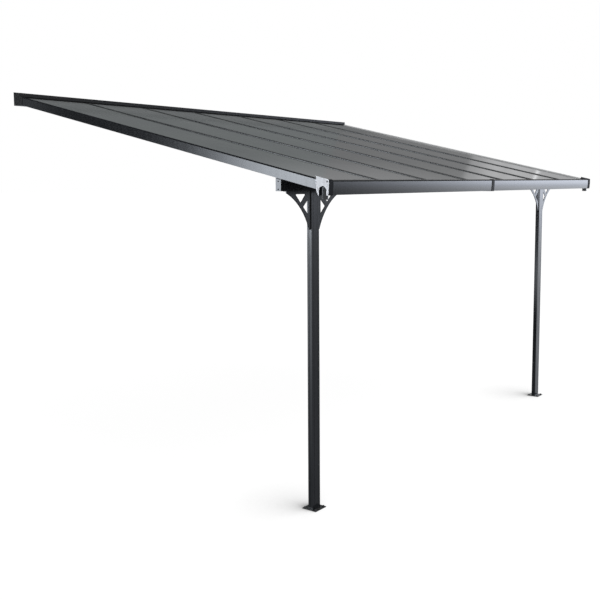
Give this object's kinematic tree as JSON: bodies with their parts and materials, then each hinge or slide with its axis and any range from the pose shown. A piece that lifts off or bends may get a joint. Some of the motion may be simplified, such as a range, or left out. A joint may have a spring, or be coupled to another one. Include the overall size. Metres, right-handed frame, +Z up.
{
  "type": "wall-mounted pergola",
  "caption": "Lean-to pergola with a sloping panelled roof, a wall beam at the back and a gutter and posts with corner brackets at the front.",
  "frame": {"origin": "middle of the wall beam's flat back, where it lies on the wall", "axes": "+Z up, +X to the right along the wall as seen from the garden, +Y into the wall; the roof reaches out towards -Y"},
  "size_m": [4.25, 2.954, 2.765],
  "materials": {
    "frame": "satin anthracite powder coat on extruded aluminium",
    "trim": "near-black matt capping strips",
    "joiner": "matt black moulded band",
    "bracket": "satin anthracite powder coat on cast aluminium",
    "end_pieces": "smooth black moulded end pieces",
    "end_plate": "light grey coated closing plates of the gutter",
    "panel": "grey tinted multiwall sheet with a soft gloss"
  },
  "bodies": {
    "root": {"wall_beam": "frame", "wall_cap_left": "end_pieces", "wall_cap_right": "end_pieces", "side_beam_left": "frame", "side_beam_right": "frame", "side_trim_left": "trim", "side_trim_right": "trim", "rafter_1": "frame", "rafter_2": "frame", "rafter_3": "frame", "rafter_4": "frame", "rafter_5": "frame", "rafter_6": "frame", "rafter_cap_1": "trim", "rafter_cap_2": "trim", "rafter_cap_3": "trim", "rafter_cap_4": "trim", "rafter_cap_5": "trim", "rafter_cap_6": "trim", "roof_panel_1": "panel", "roof_panel_2": "panel", "roof_panel_3": "panel", "roof_panel_4": "panel", "roof_panel_5": "panel", "roof_panel_6": "panel", "roof_panel_7": "panel", "gutter_left": "frame", "gutter_right": "frame", "gutter_joiner": "joiner", "gutter_head_left": "end_pieces", "gutter_head_right": "end_pieces", "gutter_plate_left": "end_plate", "gutter_plate_right": "end_plate", "front_beam": "frame", "beam_plate_left": "frame", "beam_plate_right": "frame", "post_left": "frame", "post_right": "frame", "bracket_left_outer": "bracket", "bracket_left_inner": "bracket", "bracket_right_inner": "bracket", "bracket_right_outer": "bracket", "foot_plate_left": "frame", "foot_plate_right": "frame"}
  },
  "joints": []
}
